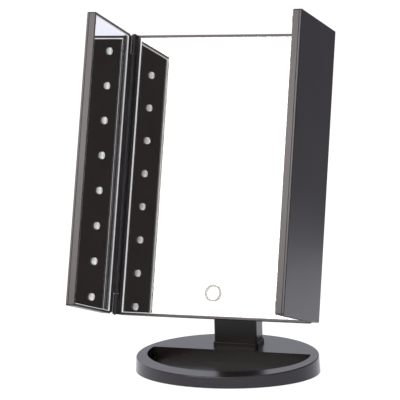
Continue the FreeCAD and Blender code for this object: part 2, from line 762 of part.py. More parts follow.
def make_centre_cover():
    """Rear cover with the battery housing, its bay, the door's rails, switch slot and inlet."""
    cover = cover_plate(-centre_half_width, centre_half_width, centre_frame_depth, centre_depth)
    half = housing_half_width
    housing = rounded_block(-half, half, centre_depth - 1, housing_back, housing_low, housing_high,
                            housing_corner, V(0, 1, 0))
    housing = soften_back(housing, housing_edge_radius, housing_back)
    wall = housing_wall
    hollow = rounded_block(-half + wall, half - wall, centre_frame_depth - 1, housing_inner_back,
                           housing_low + wall, housing_high - wall, housing_corner - wall, V(0, 1, 0))
    bay_side = bay_half_width + bay_wall
    seat_side = door_half_width + door_seat_side
    root = housing_inner_back + wall / 3
    bay = box(-bay_side, bay_side, bay_floor - bay_wall, root, bay_low - bay_wall, bay_high + bay_wall)
    door_seat = box(-seat_side, seat_side, door_inner - body_gap - bay_wall, root,
                    housing_low + wall / 2, door_high + bay_wall + body_gap)
    cover = cover.fuse(housing).cut(hollow).fuse([bay, door_seat])
    cover = cover.cut(box(-bay_half_width, bay_half_width, bay_floor, housing_back + 1, bay_low, bay_high))
    tongue_back = door_inner + door_tongue / 2
    groove = box(-door_half_width - body_gap, door_half_width + body_gap, door_inner - body_gap,
                 tongue_back + body_gap, housing_low - 1, door_high + body_gap)
    mouth_half = door_half_width - door_tongue + body_gap
    mouth = box(-mouth_half, mouth_half, door_inner - body_gap, housing_back + 1, housing_low - 1,
                door_high + body_gap)
    cover = cover.cut(groove).cut(mouth)
    half_knob = switch_knob_width / 2 + body_gap
    half_slot = (switch_knob_length + switch_travel) / 2 + body_gap
    x, z = control_board_x, switch_height + switch_travel / 2
    cover = cover.cut(box(x - half_knob, x + half_knob, housing_inner_back - 1, housing_back + 1,
                          z - half_slot, z + half_slot))
    for z in (control_board_low + board_post_inset, control_board_high - board_post_inset):
        foot = V(x, control_board_depth + control_board_thickness, z)
        cover = cover.fuse(rod(board_post_radius, foot, V(x, root, z)))
    cover = cover.cut(inlet_form(fixed_gap))
    for x, z in cover_screw_places():
        cover = cover.cut(rod(screw_radius + slip_gap, V(x, 0, z), V(x, housing_back, z)))
        cover = cover.cut(rod(screw_head_radius + slip_gap, V(x, centre_depth - screw_head_height, z),
                              V(x, housing_back, z)))
    for x, z in bracket_screw_places():
        cover = cover.cut(rod(screw_radius + slip_gap, V(x, 0, z), V(x, housing_back, z)))
    return cover.removeSplitter()


def make_cover_screws():
    """Screws of the centre's rear cover, sunk to its face."""
    return [screw(V(x, web_back + 0.5, z), V(x, centre_depth, z)) for x, z in cover_screw_places()]


# ---- power ---------------------------------------------------------------------------------------
def cell_places():
    """Middle of each cell and 1 or -1 for the way its nub points."""
    return [((i - (cell_count - 1) / 2) * cell_pitch, 1 if i % 2 == 0 else -1) for i in range(cell_count)]


def flipped(shape, way):
    """Shape as it is for way 1, upside down about the bay's middle for way -1."""
    return shape if way > 0 else shape.mirror(V(0, 0, housing_middle), V(0, 0, 1))


def make_cells():
    """Four dry cells side by side, every other one upside down."""
    cells = []
    low = bay_low + spring_room
    for x, way in cell_places():
        body = rod(cell_radius, V(x, cell_depth, low), V(x, cell_depth, low + cell_length - cell_nub))
        top = V(x, cell_depth, low + cell_length)
        nub = rod(cell_nub_radius, top - V(0, 0, cell_nub), top)
        cells.append(flipped(body.fuse(nub), way))
    return cells


def make_contacts():
    """A plate with a coned spring and a plate with a button for each cell."""
    contacts = []
    for x, way in cell_places():
        half = cell_pitch / 2 - contact_side_gap
        depth = (cell_depth - half, cell_depth + half)
        low_plate = box(x - half, x + half, *depth, bay_low, bay_low + contact_plate)
        foot = V(x, cell_depth, bay_low + contact_plate)
        spring = Part.makeCone(spring_foot, spring_tip, spring_room - contact_plate, foot)
        high_plate = box(x - half, x + half, *depth, bay_high - contact_plate, bay_high)
        cell_top = V(x, cell_depth, bay_low + spring_room + cell_length)
        button = Part.makeCone(button_tip, button_foot, bay_high - contact_plate - cell_top.z, cell_top)
        contacts.append(flipped(low_plate.fuse(spring), way))
        contacts.append(flipped(high_plate.fuse(button), way))
    return contacts


def make_battery_door():
    """Sliding door with side tongues and grip ribs."""
    tongue_back = door_inner + door_tongue / 2
    half = door_half_width - door_tongue
    door = box(-half, half, door_inner, housing_back, door_low, door_high)
    door = door.fuse(box(-door_half_width, door_half_width, door_inner, tongue_back, door_low, door_high))
    for i in range(door_rib_count):
        z = door_high - 6.0 - 2.4 * i
        door = door.fuse(box(-9, 9, housing_back - 0.5, housing_back + 0.5, z - 0.5, z + 0.5))
    return door.removeSplitter()


def make_control_board():
    """Board with the dimmer circuit, on two posts of the rear cover."""
    half = control_board_width / 2
    front, back = control_board_depth, control_board_depth + control_board_thickness
    x, low, high = control_board_x, control_board_low, control_board_high
    board = box(x - half, x + half, front, back, low, high)
    wide, deep, tall = chip_block
    middle = (inlet_height + switch_height) / 2 - switch_travel / 2
    chip = box(x - wide / 2, x + wide / 2, back, back + deep, middle - tall / 2, middle + tall / 2)
    wide, deep, tall = plug_block
    top = high - plug_inset
    plug = box(x - wide / 2, x + wide / 2, front - deep, front, top - tall, top)
    return joined([board, chip, plug])


def make_switch_body():
    """Housing of the slide switch, soldered to the control board."""
    back = control_board_depth + control_board_thickness
    middle = switch_height + switch_travel / 2
    x, half, length = control_board_x, switch_body_width / 2, switch_body_length / 2
    return box(x - half, x + half, back, back + switch_body_height, middle - length, middle + length)


def make_switch_knob():
    """Ridged knob of the slide switch."""
    low = control_board_depth + control_board_thickness + switch_body_height + slip_gap
    back = housing_back + switch_proud
    x, half, length = control_board_x, switch_knob_width / 2, switch_knob_length / 2
    knob = box(x - half, x + half, low, back, switch_height - length, switch_height + length)
    for z in (switch_height - 1.6, switch_height, switch_height + 1.6):
        knob = knob.cut(box(x - half - 1, x + half + 1, back - 0.4, back + 1, z - 0.3, z + 0.3))
    return knob


def inlet_form(grow):
    """Outer form of the charging inlet, which faces the panel's right side."""
    depth = control_board_depth + control_board_thickness
    half = inlet_width / 2 + grow
    x1 = housing_half_width + (1.0 if grow else 0)
    return rounded_block(housing_half_width - inlet_length, x1, depth - grow, depth + inlet_thick + grow,
                         inlet_height - half, inlet_height + half, 0.9, V(1, 0, 0))


def make_inlet():
    """Metal shell of the charging inlet with its contact tongue."""
    depth = control_board_depth + control_board_thickness
    half = inlet_width / 2 - inlet_wall
    back_wall = housing_half_width - inlet_length + 1.0
    cavity = rounded_block(back_wall, housing_half_width + 1, depth + inlet_wall,
                           depth + inlet_thick - inlet_wall, inlet_height - half, inlet_height + half,
                           0.5, V(1, 0, 0))
    middle = depth + inlet_thick / 2
    tongue = box(back_wall - 0.2, housing_half_width - 1.0, middle - 0.3, middle + 0.3, inlet_height - 1.9,
                 inlet_height + 1.9)
    return inlet_form(0).cut(cavity).fuse(tongue)


# ---- wings, built as the right one, opened flat beside the centre panel --------------------------
def closing_pad_form(grow):
    """Two soft pads near the free edge's ends; grow opens the pockets for them."""
    pads = []
    for z in (closing_pad_inset, panel_height - closing_pad_inset):
        half = closing_pad_length / 2 + grow
        outer = wing_end - closing_pad_edge
        pads.append(box(outer - closing_pad_width - grow, outer + grow, -closing_pad_proud, closing_pad_sunk,
                        z - half, z + half))
    return pads


def hinge_lip():
    """Lip along the wing's hinge edge that covers the gap to the barrel."""
    section = [V(wing_start + 0.6, 0, panel_corner)]
    for turn in hinge_lip_turn:
        turn = math.radians(turn)
        section.append(V(hinge_x + hinge_lip_reach * math.cos(turn),
                         -hinge_ahead + hinge_lip_reach * math.sin(turn), panel_corner))
    section.append(V(wing_start + 0.6, 1.6, panel_corner))
    return prism(section, V(0, 0, panel_height - 2 * panel_corner))


def make_wing_frame():
    """Wing frame: rim, glass seat, web with light windows, the long hinge knuckle and the lip."""
    frame = frame_plate(wing_start, wing_end, wing_frame_depth)
    frame = frame.cut(box(wing_start + rim, wing_end - rim, -1, glass_back, rim, panel_height - rim))
    frame = frame.cut(box(wing_start + frame_wall, wing_end - frame_wall, web_back, wing_frame_depth,
                          frame_wall, panel_height - frame_wall))
    z0, z1 = end_knuckle + body_gap, panel_height - end_knuckle - body_gap
    barrel = knuckle(wing_start + 0.9, 0.9, z0, z1).cut(hinge_bore(hinge_pin_radius + running_gap))
    frame = frame.fuse(barrel).fuse(hinge_lip())
    for z in light_heights:
        frame = frame.cut(rod(lens_radius + slip_gap, V(light_x, 0, z), V(light_x, web_back + 1, z)))
    for pocket in closing_pad_form(0):
        frame = frame.cut(pocket)
    return frame.removeSplitter()


def make_wing_mirror():
    """Wing glass with a round window for each light."""
    glass = glass_plate(wing_start + rim + slip_gap, wing_end - rim - slip_gap)
    for z in light_heights:
        glass = glass.cut(rod(lens_radius + fixed_gap, V(light_x, -1, z), V(light_x, glass_back + 1, z)))
    return glass


def make_lenses():
    """Frosted domes, each with a stem through the glass."""
    lenses = []
    for z in light_heights:
        stem = rod(lens_radius, V(light_x, glass_sunk, z), V(light_x, glass_back + lens_stem, z))
        dome = Part.makeSphere(lens_radius, V(light_x, glass_sunk, z), V(0, -1, 0), 0, 90, 360)
        lenses.append(stem.fuse(dome).removeSplitter())
    return lenses


def make_chips():
    """Light chips on their board, behind the domes."""
    return [box(light_x - chip_width / 2, light_x + chip_width / 2, web_back - chip_height, web_back,
                z - chip_length / 2, z + chip_length / 2) for z in light_heights]


def make_light_board():
    """Strip board that carries the chips, on the back of the web."""
    half = light_board_width / 2
    low, high = light_heights[0] - light_board_end, light_heights[-1] + light_board_end
    return box(light_x - half, light_x + half, web_back, board_back, low, high)


def make_wing_cover():
    """Wing's outer cover with its lip, and ribs that hold the board and stiffen the face."""
    cover = cover_plate(wing_start, wing_end, wing_frame_depth, wing_depth)
    inside = frame_wall + slip_gap
    for i in range(1, 5):
        z = panel_height * i / 5
        cover = cover.fuse(box(wing_start + inside, wing_end - inside, board_back, wing_frame_depth + 0.2,
                               z - frame_rib / 2, z + frame_rib / 2))
    return cover.removeSplitter()


def make_closing_pads():
    """Two soft pads in the wing's rim."""
    return closing_pad_form(0)


# ---- placing -------------------------------------------------------------------------------------
def lean(shape):
    """Panel frame to world frame: onto the tilt axis, leaning back."""
    placed = shape.copy()
    placed.translate(V(0, pivot_y - pivot_behind_glass, pivot_z - pivot_up_panel))
    placed.rotate(V(0, pivot_y, pivot_z), V(1, 0, 0), -rest_tilt)
    return placed


def hang(shape, side, opening):
    """Flat-open right wing piece to its side and opening, on the leaning panel."""
    turned = shape.copy()
    turned.rotate(V(hinge_x, -hinge_ahead, 0), V(0, 0, 1), opening - 180)
    if side < 0:
        turned = turned.mirror(V(0, 0, 0), V(1, 0, 0))
    return lean(turned)


def write(name, shape):
    """One STEP file per node; a list of shapes becomes a group of separate solids."""
    if isinstance(shape, list):
        shape = Part.makeCompound(shape)
    shape.exportStep(os.path.join("parts", name + ".step"))
    print(name, len(shape.Solids), round(shape.Volume), shape.isValid())


def main():
    os.makedirs("parts", exist_ok=True)
    post_front, post_rear = make_post_shells()
    base_pieces = {
        "base_shell": make_base_shell(), "base_bottom_plate": make_bottom_plate(),
        "base_pad": make_base_pad(), "base_weight": make_base_weight(), "base_screws": make_base_screws(),
        "post_front_shell": post_front, "post_rear_shell": post_rear,
        "post_foot": make_post_foot(), "post_foot_screws": make_foot_screws(),
        "post_screws": [screw(tip, head) for tip, head in post_screw_places()],
        "post_collar": make_collar(), "tilt_bush": make_tilt_bush(),
    }
    panel_pieces = {
        "tilt_bracket": make_tilt_bracket(), "tilt_bracket_screws": make_bracket_screws(),
        "tilt_axle": make_tilt_axle(), "tilt_axle_nut": make_axle_nut(),
        "tilt_friction_washers": make_friction_washers(), "tilt_axle_caps": make_axle_caps(),
        "centre_frame": make_centre_frame(), "centre_mirror": make_centre_mirror(),
        "touch_ring": make_touch_ring(), "touch_sensor_board": make_touch_board(),
        "centre_back_cover": make_centre_cover(), "centre_cover_screws": make_cover_screws(),
        "battery_cells": make_cells(), "battery_contacts": make_contacts(),
        "battery_door": make_battery_door(), "control_board": make_control_board(),
        "power_switch_body": make_switch_body(), "power_switch_knob": make_switch_knob(),
        "charging_inlet": make_inlet(), "right_hinge_pin": make_hinge_pin(),
        "left_hinge_pin": make_hinge_pin().mirror(V(0, 0, 0), V(1, 0, 0)),
    }
    wing_pieces = {
        "wing_frame": make_wing_frame(), "wing_mirror": make_wing_mirror(),
        "wing_back_cover": make_wing_cover(),
        "light_lenses": make_lenses(), "light_chips": make_chips(), "light_board": make_light_board(),
        "closing_pads": make_closing_pads(),
    }
    for name, shape in base_pieces.items():
        write(name, shape)
    for name, shape in panel_pieces.items():
        write(name, [lean(one) for one in shape] if isinstance(shape, list) else lean(shape))
    for side_name, side, opening in (("left", -1, left_open), ("right", 1, right_open)):
        for name, shape in wing_pieces.items():
            pieces = shape if isinstance(shape, list) else [shape]
            placed = [hang(one, side, opening) for one in pieces]
            write(side_name + "_" + name, placed if isinstance(shape, list) else placed[0])


main()
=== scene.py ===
"""Tri-fold lighted vanity mirror: finishes, mirror plates, light domes, camera and studio.

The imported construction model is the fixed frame. Its pieces keep their places and get the
finish of the real ones; what needs a finer form is modelled here, on the places that the frame gives.
Lengths are metres, as in the frame; only the lens and its sensor are in millimetres.
"""

import json
import math

import bpy
import bmesh
from bpy.props import FloatProperty, FloatVectorProperty, IntProperty, PointerProperty
from mathutils import Matrix, Vector


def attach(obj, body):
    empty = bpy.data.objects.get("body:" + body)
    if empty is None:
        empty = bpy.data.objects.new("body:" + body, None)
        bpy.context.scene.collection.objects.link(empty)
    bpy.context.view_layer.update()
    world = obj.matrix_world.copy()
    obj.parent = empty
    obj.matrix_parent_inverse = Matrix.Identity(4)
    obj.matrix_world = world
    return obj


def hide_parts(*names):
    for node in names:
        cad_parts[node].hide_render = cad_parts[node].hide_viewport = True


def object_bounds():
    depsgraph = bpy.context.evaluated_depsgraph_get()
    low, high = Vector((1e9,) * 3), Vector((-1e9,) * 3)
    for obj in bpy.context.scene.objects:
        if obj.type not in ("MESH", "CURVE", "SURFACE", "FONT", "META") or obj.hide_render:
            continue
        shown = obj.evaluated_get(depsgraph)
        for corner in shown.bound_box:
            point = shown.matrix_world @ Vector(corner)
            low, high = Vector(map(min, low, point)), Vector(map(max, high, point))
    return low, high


bl_info = {
    "name": "Vanity Mirror",
    "version": (1, 0, 0),
    "blender": (4, 5, 0),
    "location": "View3D > Sidebar > Vanity Mirror",
    "description": "Finishes a tri-fold vanity mirror and sets up its studio",
    "category": "Object",
}

MM = 0.001

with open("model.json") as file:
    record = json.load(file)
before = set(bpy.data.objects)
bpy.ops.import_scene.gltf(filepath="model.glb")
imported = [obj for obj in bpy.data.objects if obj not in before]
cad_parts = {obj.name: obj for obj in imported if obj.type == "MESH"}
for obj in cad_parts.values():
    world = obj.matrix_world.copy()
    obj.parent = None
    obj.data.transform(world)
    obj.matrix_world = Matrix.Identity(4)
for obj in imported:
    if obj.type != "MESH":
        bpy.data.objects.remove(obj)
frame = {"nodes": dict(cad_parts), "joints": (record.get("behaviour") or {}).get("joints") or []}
cad_low, cad_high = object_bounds()
joints = {joint["name"]: joint for joint in frame["joints"]}

# ---- directions of the leaning panel and of the two wings ----------------------------------------
panel_up = Vector(joints["right_wing_hinge"]["axis"]).normalized()
panel_right = Vector((1.0, 0.0, 0.0))
panel_back = panel_up.cross(panel_right).normalized()


def wing_directions(side):
    """Unit vectors of a wing at rest: along it from its hinge, and out of its glass; side is -1 or 1."""
    joint = joints["left_wing_hinge" if side < 0 else "right_wing_hinge"]
    opening = math.radians(-joint["range_deg"][0])
    along = -panel_right * side * math.cos(opening) - panel_back * math.sin(opening)
    out = panel_back * math.cos(opening) - panel_right * side * math.sin(opening)
    return along, out


# ---- helpers -------------------------------------------------------------------------------------
def linear(hex_colour):
    """Linear red, green and blue of an sRGB hex colour such as '#2a2727'."""
    channels = [int(hex_colour[i:i + 2], 16) / 255 for i in (1, 3, 5)]
    return tuple(c / 12.92 if c <= 0.04045 else ((c + 0.055) / 1.055) ** 2.4 for c in channels)


def add(tree, kind, settings=None, inputs=None, stops=()):
    """Add a node; settings are its own values, inputs are values or outputs for its sockets, and
    stops are the (place, linear colour) pairs of its ramp."""
    made = tree.nodes.new(kind)
    for name, value in (settings or {}).items():
        setattr(made, name, value)
    for name, value in (inputs or {}).items():
        if isinstance(value, bpy.types.NodeSocket):
            tree.links.new(value, made.inputs[name])
        else:
            made.inputs[name].default_value = value
    if stops:
        for element, (place, colour) in zip(made.color_ramp.elements, stops):
            element.position = place
            element.color = (*colour, 1.0)
    return made


def new_material(name):
    """An empty node material and its tree."""
    material = bpy.data.materials.new(name)
    material.use_nodes = True
    material.node_tree.nodes.clear()
    return material, material.node_tree


def deselect_all():
    """Nothing selected, so that an operator acts only on what it makes."""
    if bpy.context.object and bpy.context.object.mode != "OBJECT":
        bpy.ops.object.mode_set(mode="OBJECT")
    bpy.ops.object.select_all(action="DESELECT")


def node_points(name):
    """Corners of a frame node's mesh, in the frame."""
    return [vertex.co.copy() for vertex in frame["nodes"][name].data.vertices]


def clusters(points, axis, count):
    """Points split into groups at their widest gaps along an axis, lowest first."""
    ordered = sorted(points, key=lambda p: p.dot(axis))
    gaps = sorted(range(1, len(ordered)), key=lambda i: ordered[i].dot(axis) - ordered[i - 1].dot(axis))
    cuts = [0] + sorted(gaps[len(gaps) - count + 1:]) + [len(ordered)]
    return [ordered[a:b] for a, b in zip(cuts, cuts[1:])]


def middle(points, axis):
    """Middle of a group of points along an axis."""
    places = [p.dot(axis) for p in points]
    return (min(places) + max(places)) / 2


def settle(piece, place):
    """Put a piece modelled at the origin in its place, with the place in its mesh."""
    piece.data.transform(place)
    piece.data.update()


def finish(names, material):
    """Give frame nodes a material."""
    for name in names:
        slots = frame["nodes"][name].data.materials
        slots.clear()
        slots.append(material)


# ---- settings ------------------------------------------------------------------------------------
def colour_setting(name, about, hex_colour):
    """A colour property with a hex default."""
    return FloatVectorProperty(name=name, description=about, subtype="COLOR", size=3, min=0.0, max=1.0,
                               default=linear(hex_colour))


def length_setting(name, about, default):
    """A length property in metres."""
    return FloatProperty(name=name, description=about, unit="LENGTH", min=0.0, precision=5, default=default)


def power_setting(name, about, default):
    """A lamp's power in watts."""
    return FloatProperty(name=name, description=about, unit="POWER", min=0.0, default=default)


def share_setting(name, about, default):
    """A plain number from 0 to 1."""
    return FloatProperty(name=name, description=about, subtype="FACTOR", min=0.0, max=1.0, default=default)


class VanityFinishSettings(bpy.types.PropertyGroup):
    plastic: colour_setting("Plastic", "Colour of the moulded housings", "#232120")
    # The base's black is the housings' black made darker: painted shade for its deep tray.
    base: colour_setting("Base", "Colour of the base", "#1d1a19")
    post: colour_setting("Post", "Colour of the post", "#1f1c1a")
    plastic_roughness: share_setting("Plastic roughness", "How satin the housings are", 0.36)
    base_roughness: share_setting("Base roughness", "How glossy the base is", 0.24)
    post_roughness: share_setting("Post roughness", "How glossy the post is", 0.26)
    sheen: colour_setting("Sheen", "Tint of the housings' shine", "#e2e1f2")
    grain: length_setting("Mould grain", "Size of the eroded texture of the mould", 0.45 * MM)
    glass: colour_setting("Glass", "Tint of the glass", "#fefefe")
    silver: colour_setting("Silver", "Tint of the silver behind the glass", "#fcfcfc")
    glass_edge: colour_setting("Glass edge", "Colour of the ground glass edge", "#f1f0f1")
    lens: colour_setting("Light dome", "Colour of the frosted domes' crowns", "#c3c8cb")
    lens_rim: colour_setting("Dome rim", "Colour of the domes' rims", "#eceeef")
    ring: colour_setting("Touch ring", "Colour of the etched ring", "#a9a9ab")


class VanityDomeSettings(bpy.types.PropertyGroup):
    segments: IntProperty(name="Segments", description="Faces round a dome", min=12, max=64, default=36)
    width: share_setting("Width", "Dome's width in its window", 0.98)
    rise: share_setting("Rise", "Dome's height over its radius", 0.55)
    crown: share_setting("Crown", "Share of the dome that the milky crown covers", 0.62)
    stem: length_setting("Stem", "Depth of a dome's stem in the glass", 1.6 * MM)


class VanityGlassSettings(bpy.types.PropertyGroup):
    seat: length_setting("Seat", "Adhesive between the silver and the frame", 0.08 * MM)
    border: length_setting("Border", "Outer part of a plate without windows", 1.5 * MM)


class VanityStudioSettings(bpy.types.PropertyGroup):
    floor: colour_setting("Floor", "Colour of the floor", "#f7f7f7")
    floor_size: length_setting("Floor size", "Side of the floor", 9.0)
    key_power: power_setting("Key", "Power of the softbox", 18.5)
    key_colour: colour_setting("Key colour", "Colour of the softbox", "#fff5e2")
    rim_power: power_setting("Rim", "Power of the rear lamp", 5.0)
    rim_colour: colour_setting("Rim colour", "Colour of the rear lamp", "#f4f4ff")
    shadow: share_setting("Shadow", "How much of the object's shadow the floor shows", 0.3)
    daylight: share_setting("Daylight", "Strength of the even light from all round", 0.8)
    flag_width: length_setting("Flag width", "Width of the black card over the camera", 0.34)
    flag_height: length_setting("Flag height", "Height of the black card", 0.7)
    flag_right: length_setting("Flag to the right", "How far the card stands to the right", 0.09)
    flag_tone: colour_setting("Flag tone", "Tone of the black card", "#2d2929")
    side_edge: length_setting("Side card edge", "Near edge of the card behind on the right", 0.17)
    side_width: length_setting("Side card width", "Width of that card", 1.6)
    side_height: length_setting("Side card height", "Height of that card", 1.2)
    side_tone: colour_setting("Side card tone", "Tone of that card", "#84818f")
    right_tone: colour_setting("Right card tone", "Tone of the card on the right", "#2a2727")


class VanityCameraSettings(bpy.types.PropertyGroup):
    azimuth: FloatProperty(name="Azimuth", description="Camera's turn to the right of the front",
                           subtype="ANGLE", default=math.radians(18.826))
    elevation: FloatProperty(name="Elevation", description="Camera's height above the horizon",
                             subtype="ANGLE", default=math.radians(8.154))
    roll: FloatProperty(name="Roll", description="Tilt of the picture", subtype="ANGLE",
                        default=math.radians(-1.666))
    distance: length_setting("Distance", "From the middle of the mirror to the camera", 1.4955)
    height: length_setting("Height", "Middle of the mirror above the floor", 0.150)
    lens_mm: FloatProperty(name="Lens", description="Focal length on a 36 mm wide sensor", default=160.43)
    aim_x: FloatProperty(name="Aim across", description="Point aimed at, to the right", unit="LENGTH",
                         default=-0.020417)
    aim_z: length_setting("Aim height", "Point aimed at, above the floor", 0.146115)


SETTINGS = {
    "vanity_finish": VanityFinishSettings,
    "vanity_domes": VanityDomeSettings,
    "vanity_glass": VanityGlassSettings,
    "vanity_studio": VanityStudioSettings,
    "vanity_camera": VanityCameraSettings,
}


# ---- materials -----------------------------------------------------------------------------------
# Real mould grain and grit are too fine to show, so they are drawn 0.3 mm wide or coarser.
GLOSS_DRIFT = 45 * MM
BOARD_RUNS = 9 * MM


def shade(colour, factor):
    """A colour made darker or lighter."""
    return tuple(min(1.0, channel * factor) for channel in colour)


def moulded_abs(name, colour, roughness, grain, sheen=(1.0, 1.0, 1.0), gloss_level=0.5):
    """ABS, injection moulded in a spark-eroded tool: satin black with a fine even grain that
    breaks highlights up, a cool sheen, and a slight drift in gloss over large faces."""
    material, tree = new_material(name)
    place = add(tree, "ShaderNodeTexCoord").outputs["Object"]
    fine = add(tree, "ShaderNodeTexNoise", inputs={"Vector": place, "Scale": 1 / grain, "Detail": 3.0})
    drift = add(tree, "ShaderNodeTexNoise", inputs={
        "Vector": place, "Scale": 1 / GLOSS_DRIFT, "Detail": 2.0})
    tone = add(tree, "ShaderNodeValToRGB", inputs={"Fac": drift.outputs["Fac"]},
               stops=[(0.35, shade(colour, 0.9)), (0.65, shade(colour, 1.12))])
    gloss = add(tree, "ShaderNodeMapRange", inputs={
        "Value": drift.outputs["Fac"], "To Min": roughness - 0.03, "To Max": roughness + 0.03})
    bump = add(tree, "ShaderNodeBump", inputs={
        "Strength": 0.08, "Distance": 0.04 * MM, "Height": fine.outputs["Fac"]})
    shader = add(tree, "ShaderNodeBsdfPrincipled", inputs={
        "Base Color": tone.outputs["Color"], "Roughness": gloss.outputs["Result"], "IOR": 1.5,
        "Specular Tint": (*sheen, 1.0), "Specular IOR Level": gloss_level, "Normal": bump.outputs["Normal"]})
    add(tree, "ShaderNodeOutputMaterial", inputs={"Surface": shader.outputs["BSDF"]})
    return material


def housing_abs(part, look):
    """The satin black ABS that all housings of the panel and the wings share, named for the part."""
    return moulded_abs("satin_black_abs_" + part, look.plastic, look.plastic_roughness, look.grain,
                       look.sheen)


def clear_glass(name, colour):
    """Float glass, polished by the bath it floats on: clear, with a second, fainter image off its front."""
    material, tree = new_material(name)
    shader = add(tree, "ShaderNodeBsdfPrincipled", inputs={
        "Base Color": (*colour, 1.0), "Roughness": 0.0, "IOR": 1.52, "Transmission Weight": 1.0})
    add(tree, "ShaderNodeOutputMaterial", inputs={"Surface": shader.outputs["BSDF"]})
    return material


def silver_layer(name, colour):
    """Silver, sprayed on the back of the glass and sealed: a clean mirror."""
    material, tree = new_material(name)
    shader = add(tree, "ShaderNodeBsdfPrincipled", inputs={
        "Base Color": (*colour, 1.0), "Metallic": 1.0, "Roughness": 0.0})
    add(tree, "ShaderNodeOutputMaterial", inputs={"Surface": shader.outputs["BSDF"]})
    return material


def glowing_ground_edge(name, colour):
    """Glass edge, cut and ground on a wet belt: matt and pale, with a painted glow as a thin bright line."""
    material, tree = new_material(name)
    place = add(tree, "ShaderNodeTexCoord").outputs["Object"]
    grit = add(tree, "ShaderNodeTexNoise", inputs={"Vector": place, "Scale": 1 / (0.4 * MM), "Detail": 2.0})
    tone = add(tree, "ShaderNodeValToRGB", inputs={"Fac": grit.outputs["Fac"]},
               stops=[(0.3, shade(colour, 0.95)), (0.7, colour)]).outputs["Color"]
    gloss = add(tree, "ShaderNodeMapRange", inputs={
        "Value": grit.outputs["Fac"], "To Min": 0.5, "To Max": 0.7})
    # Emission Strength is a painted glow: the edge gives out its own pale light, though no lamp lights it.
    shader = add(tree, "ShaderNodeBsdfPrincipled", inputs={
        "Base Color": tone, "Roughness": gloss.outputs["Result"],
        "Emission Color": tone, "Emission Strength": 0.5})
    add(tree, "ShaderNodeOutputMaterial", inputs={"Surface": shader.outputs["BSDF"]})
    return material


def glowing_frosted_acrylic(name, colour):
    """Acrylic, injection moulded and etched inside: pale, milky, with a soft shine on the crown,
    and a painted glow.
    """
    material, tree = new_material(name)
    place = add(tree, "ShaderNodeTexCoord").outputs["Object"]
    haze = add(tree, "ShaderNodeTexNoise", inputs={"Vector": place, "Scale": 1 / (0.8 * MM), "Detail": 2.0})
    tone = add(tree, "ShaderNodeValToRGB", inputs={"Fac": haze.outputs["Fac"]},
               stops=[(0.3, shade(colour, 0.93)), (0.7, colour)]).outputs["Color"]
    gloss = add(tree, "ShaderNodeMapRange", inputs={
        "Value": haze.outputs["Fac"], "To Min": 0.30, "To Max": 0.42})
    # Emission Strength is a painted glow: it lifts the domes and window walls that the glass shades.
    shader = add(tree, "ShaderNodeBsdfPrincipled", inputs={
        "Base Color": tone, "Roughness": gloss.outputs["Result"], "IOR": 1.49,
        "Emission Color": tone, "Emission Strength": 0.2, "Coat Weight": 0.4, "Coat Roughness": 0.15})
    add(tree, "ShaderNodeOutputMaterial", inputs={"Surface": shader.outputs["BSDF"]})
    return material


def etched_glass(name, colour):
    """Glass with its silver stripped and the face etched: a flat pale grey mark."""
    material, tree = new_material(name)
    place = add(tree, "ShaderNodeTexCoord").outputs["Object"]
    grit = add(tree, "ShaderNodeTexNoise", inputs={"Vector": place, "Scale": 1 / (0.3 * MM), "Detail": 2.0})
    tone = add(tree, "ShaderNodeValToRGB", inputs={"Fac": grit.outputs["Fac"]},
               stops=[(0.3, shade(colour, 0.94)), (0.7, colour)])
    gloss = add(tree, "ShaderNodeMapRange", inputs={
        "Value": grit.outputs["Fac"], "To Min": 0.55, "To Max": 0.7})
    shader = add(tree, "ShaderNodeBsdfPrincipled", inputs={
        "Base Color": tone.outputs["Color"], "Roughness": gloss.outputs["Result"]})
    add(tree, "ShaderNodeOutputMaterial", inputs={"Surface": shader.outputs["BSDF"]})
    return material


def soft_rubber(name, colour):
    """Silicone rubber, pressed in a blasted mould: matt, slightly dusty black."""
    material, tree = new_material(name)
    place = add(tree, "ShaderNodeTexCoord").outputs["Object"]
    dust = add(tree, "ShaderNodeTexNoise", inputs={"Vector": place, "Scale": 1 / (0.6 * MM), "Detail": 4.0})
    tone = add(tree, "ShaderNodeValToRGB", inputs={"Fac": dust.outputs["Fac"]},
               stops=[(0.35, colour), (0.75, shade(colour, 1.5))])
    gloss = add(tree, "ShaderNodeMapRange", inputs={
        "Value": dust.outputs["Fac"], "To Min": 0.75, "To Max": 0.9})
    bump = add(tree, "ShaderNodeBump", inputs={
        "Strength": 0.25, "Distance": 0.05 * MM, "Height": dust.outputs["Fac"]})
    shader = add(tree, "ShaderNodeBsdfPrincipled", inputs={
        "Base Color": tone.outputs["Color"], "Roughness": gloss.outputs["Result"],
        "Normal": bump.outputs["Normal"]})
    add(tree, "ShaderNodeOutputMaterial", inputs={"Surface": shader.outputs["BSDF"]})
    return material


def worked_metal(name, colour, roughness, grain, stretch=(1.0, 1.0, 1.0)):
    """Metal, rolled, turned or plated: fine tool marks, drawn out along stretch, break up its shine."""
    material, tree = new_material(name)
    place = add(tree, "ShaderNodeTexCoord").outputs["Object"]
    marks = add(tree, "ShaderNodeMapping", inputs={"Vector": place, "Scale": stretch})
    noise = add(tree, "ShaderNodeTexNoise", inputs={
        "Vector": marks.outputs["Vector"], "Scale": 1 / grain, "Detail": 3.0})
    tone = add(tree, "ShaderNodeValToRGB", inputs={"Fac": noise.outputs["Fac"]},
               stops=[(0.3, shade(colour, 0.85)), (0.7, colour)])
    gloss = add(tree, "ShaderNodeMapRange", inputs={
        "Value": noise.outputs["Fac"], "To Min": roughness - 0.08, "To Max": roughness + 0.08})
    shader = add(tree, "ShaderNodeBsdfPrincipled", inputs={
        "Base Color": tone.outputs["Color"], "Metallic": 1.0, "Roughness": gloss.outputs["Result"]})
    add(tree, "ShaderNodeOutputMaterial", inputs={"Surface": shader.outputs["BSDF"]})
    return material


def zinc_screws(part):
    """Screws, cold headed and zinc plated: a grey metal, a little cloudy."""
    return worked_metal("zinc_plated_screws_" + part, linear("#6f7073"), 0.35, 0.4 * MM)


